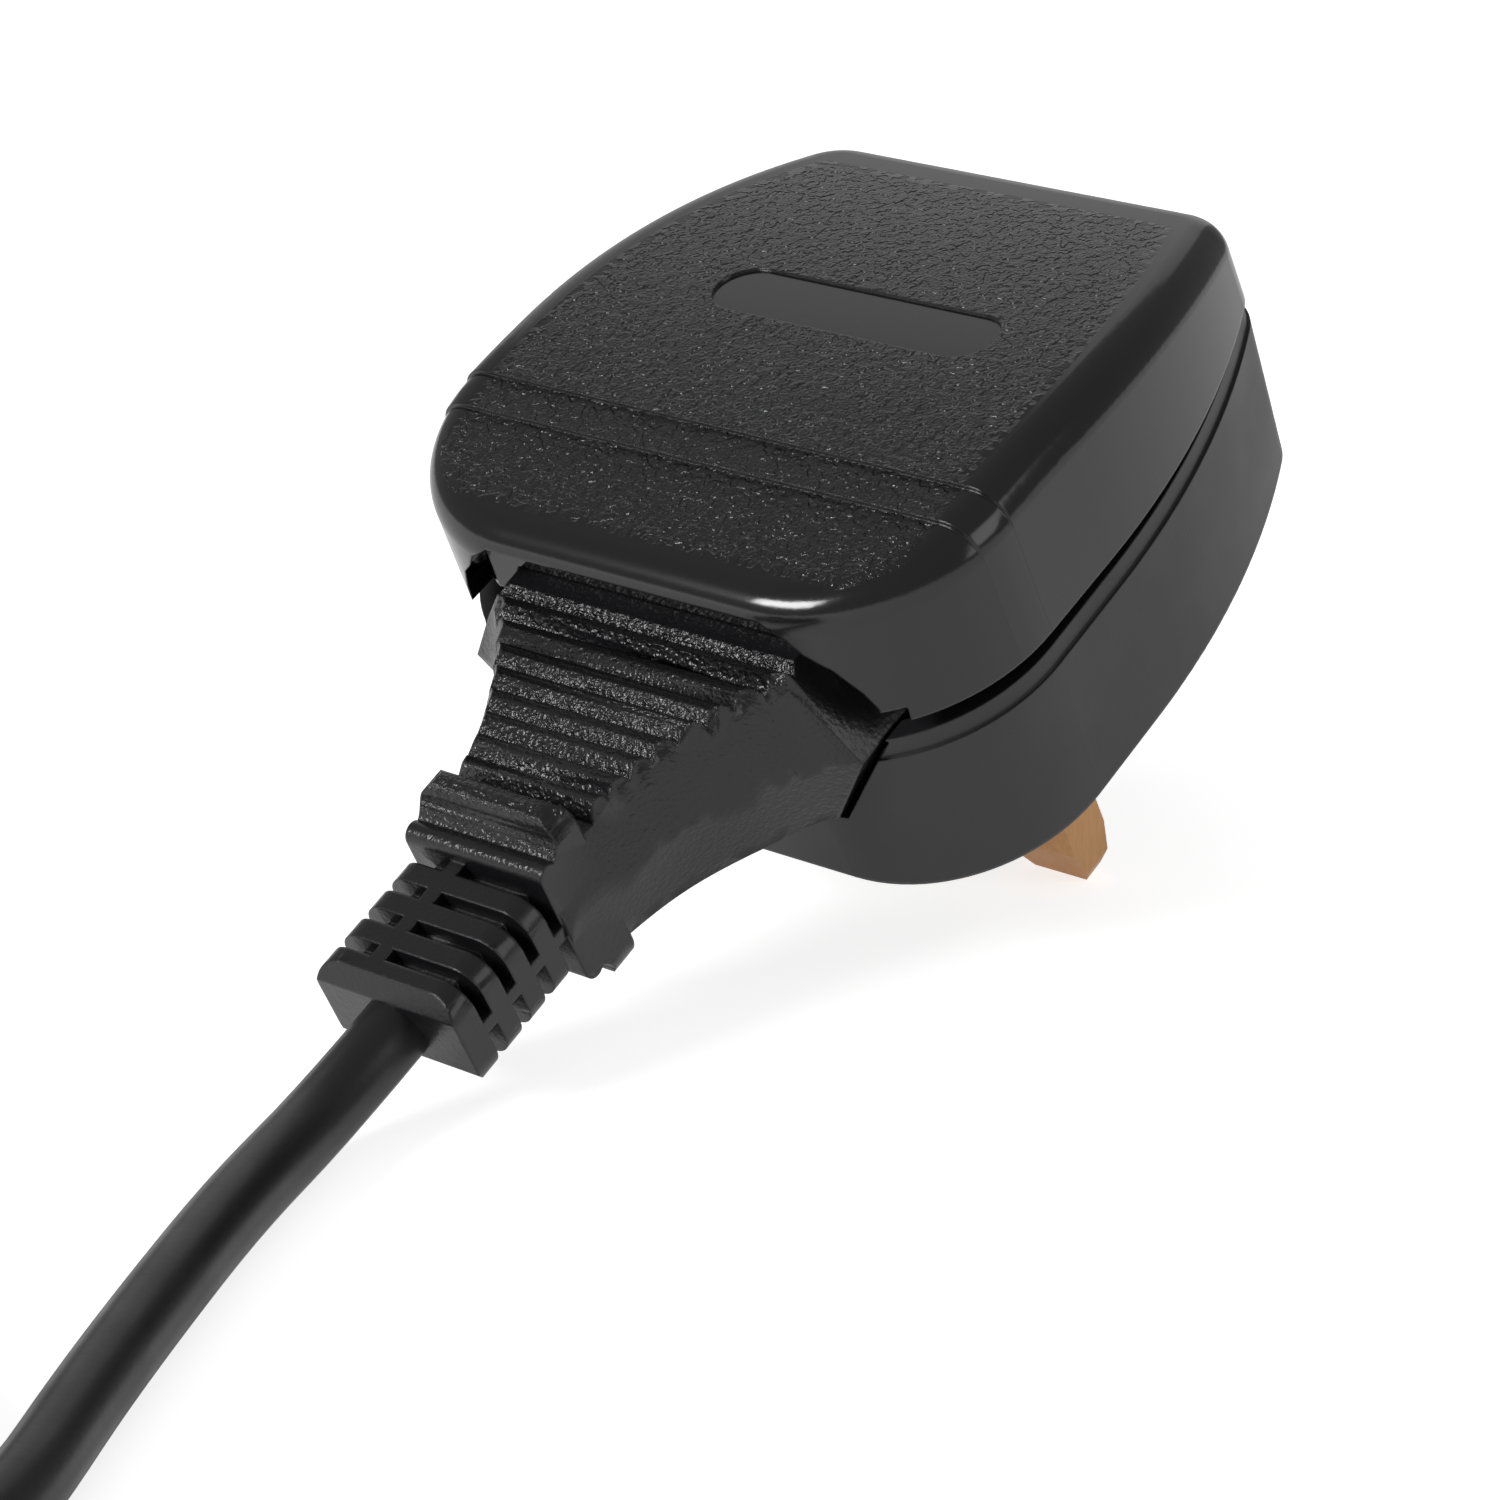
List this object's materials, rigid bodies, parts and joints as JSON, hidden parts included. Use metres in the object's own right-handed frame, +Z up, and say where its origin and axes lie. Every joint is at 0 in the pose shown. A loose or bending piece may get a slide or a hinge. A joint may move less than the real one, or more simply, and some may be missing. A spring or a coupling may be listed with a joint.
{
  "type": "travel adapter plug",
  "caption": "Fused three-pin converter housing with a hinged cover closed round a moulded two-pin plug, with its round lead, put-away coil and figure-of-eight connector.",
  "frame": {"origin": "on the surface it rests on, under the middle of the plug's box (without the lead)", "axes": "+X across the plug towards its live side, +Y from the cord end towards the earth pin, +Z up; the plug leans nose-down 27 degrees about X on the tips of its line and neutral pins"},
  "size_m": [0.082, 0.219, 0.0492],
  "materials": {
    "cover_black": "black moulded plastic, satin gloss with a fine leather grain",
    "base_black": "black moulded plastic, satin",
    "sleeve_black": "black insulating sleeve",
    "earth_plastic": "black moulded plastic",
    "moulded_pvc": "black flexible moulding, fine matt grain",
    "lead_pvc": "black flexible sheath, satin",
    "tie_plastic": "black band",
    "pin_brass": "dull machined brass",
    "contact_brass": "bright stamped brass",
    "nickel": "nickel plated",
    "steel": "plain steel",
    "zinc_steel": "zinc plated steel",
    "ceramic": "glazed ceramic tube",
    "block_plastic": "black heat-resisting plastic"
  },
  "bodies": {
    "plug": {"base_shell": "base_black", "block_screw_front": "zinc_steel", "block_screw_rear": "zinc_steel", "coil_tie": "tie_plastic", "connector_body": "moulded_pvc", "connector_contact_left": "contact_brass", "connector_contact_right": "contact_brass", "contact_block": "block_plastic", "earth_pin": "earth_plastic", "fuse_cap_live": "nickel", "fuse_cap_load": "nickel", "fuse_clip_live": "contact_brass", "fuse_clip_load": "contact_brass", "fuse_tube": "ceramic", "hinge_pin": "steel", "lead": "lead_pvc", "lead_coil": "lead_pvc", "lead_tail": "lead_pvc", "live_contact": "contact_brass", "live_pin": "pin_brass", "live_pin_sleeve": "sleeve_black", "live_strip": "contact_brass", "load_strip": "contact_brass", "locking_screw": "zinc_steel", "neutral_contact": "contact_brass", "neutral_pin": "pin_brass", "neutral_pin_sleeve": "sleeve_black", "neutral_strip": "contact_brass", "plug_body": "moulded_pvc", "plug_pin_left": "nickel", "plug_pin_right": "nickel", "plug_pin_sleeve_left": "sleeve_black", "plug_pin_sleeve_right": "sleeve_black"},
    "cover": {"cover": "cover_black"}
  },
  "joints": [
    {"name": "cover_hinge", "type": "hinge", "parent": "plug", "child": "cover", "pos_m": [0, 0.03088, 0.04381], "axis": [-1, 0, 0], "range_deg": [0, 100]}
  ]
}
